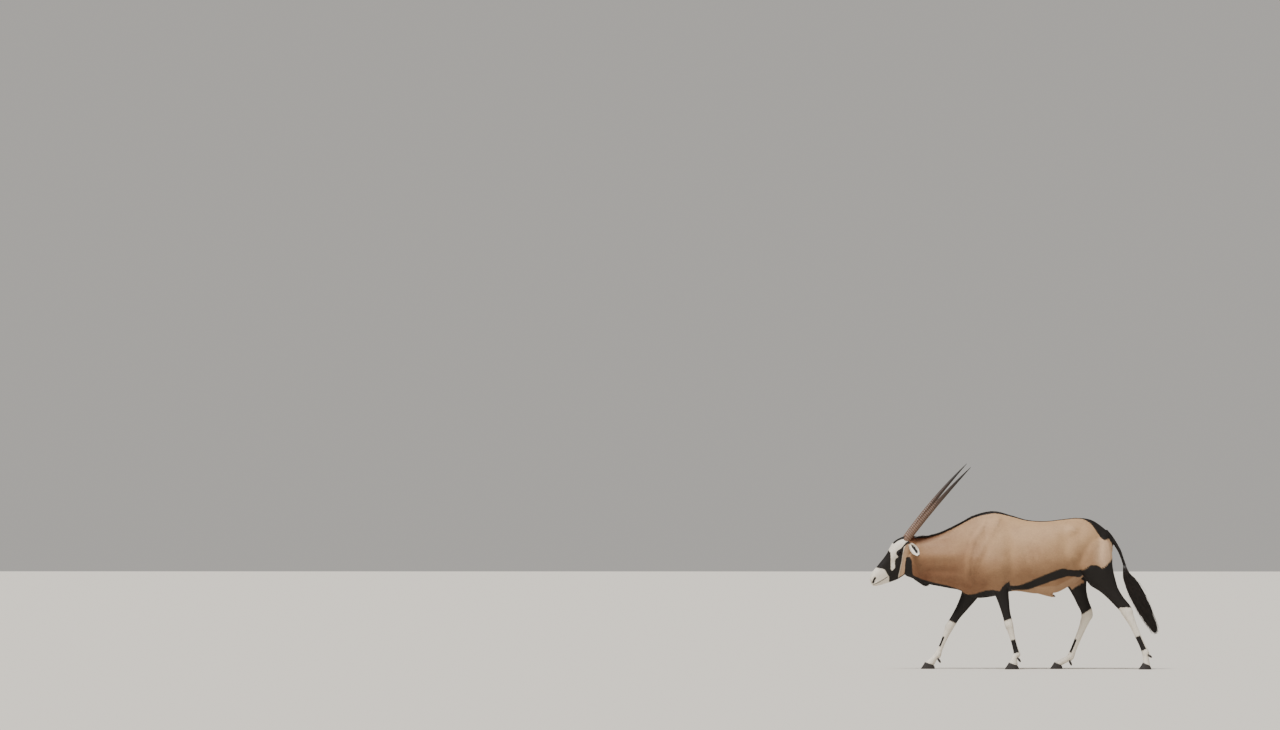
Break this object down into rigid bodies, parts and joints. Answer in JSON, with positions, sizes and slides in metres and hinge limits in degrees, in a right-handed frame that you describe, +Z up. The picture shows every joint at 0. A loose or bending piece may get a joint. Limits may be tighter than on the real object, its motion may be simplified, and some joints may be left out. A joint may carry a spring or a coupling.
{
  "type": "gemsbok antelope model",
  "caption": "Life-size walking antelope with long straight ringed horns, cloven hooves, short mane and long tufted tail, head held low.",
  "frame": {"origin": "middle of the floor rectangle under the whole animal, at the level of the hoof soles", "axes": "-X the way the animal walks, +X towards the tail, -Y its left side, +Z up"},
  "size_m": [2.192, 0.44, 1.5603],
  "materials": {
    "fawn_hair": "short flat fawn hair, matt",
    "black_hair": "short and long black hair, matt",
    "white_hair": "short white hair, matt",
    "ear_hair": "thin white hair over skin",
    "horn": "ringed dark horn, worn smooth towards the tips",
    "hoof": "hard dark hoof wall",
    "eye": "wet dark brown eye"
  },
  "bodies": {
    "root": {"fore_left_hoof_outer": "hoof", "fore_left_dewclaw_outer": "hoof", "fore_left_hoof_inner": "hoof", "fore_left_dewclaw_inner": "hoof", "fore_left_forearm": "black_hair", "fore_left_cannon": "white_hair", "fore_right_hoof_outer": "hoof", "fore_right_dewclaw_outer": "hoof", "fore_right_hoof_inner": "hoof", "fore_right_dewclaw_inner": "hoof", "fore_right_forearm": "black_hair", "fore_right_cannon": "white_hair", "hind_left_hoof_outer": "hoof", "hind_left_dewclaw_outer": "hoof", "hind_left_hoof_inner": "hoof", "hind_left_dewclaw_inner": "hoof", "hind_left_gaskin": "black_hair", "hind_left_cannon": "white_hair", "hind_right_hoof_outer": "hoof", "hind_right_dewclaw_outer": "hoof", "hind_right_hoof_inner": "hoof", "hind_right_dewclaw_inner": "hoof", "hind_right_gaskin": "black_hair", "hind_right_cannon": "white_hair", "tail_dock": "black_hair", "tail_brush": "black_hair", "neck": "fawn_hair", "chest": "fawn_hair", "barrel": "fawn_hair", "rump": "fawn_hair", "ear_left": "ear_hair", "eye_left": "eye", "horn_left": "horn", "ear_right": "ear_hair", "eye_right": "eye", "horn_right": "horn", "head": "white_hair"}
  },
  "joints": []
}
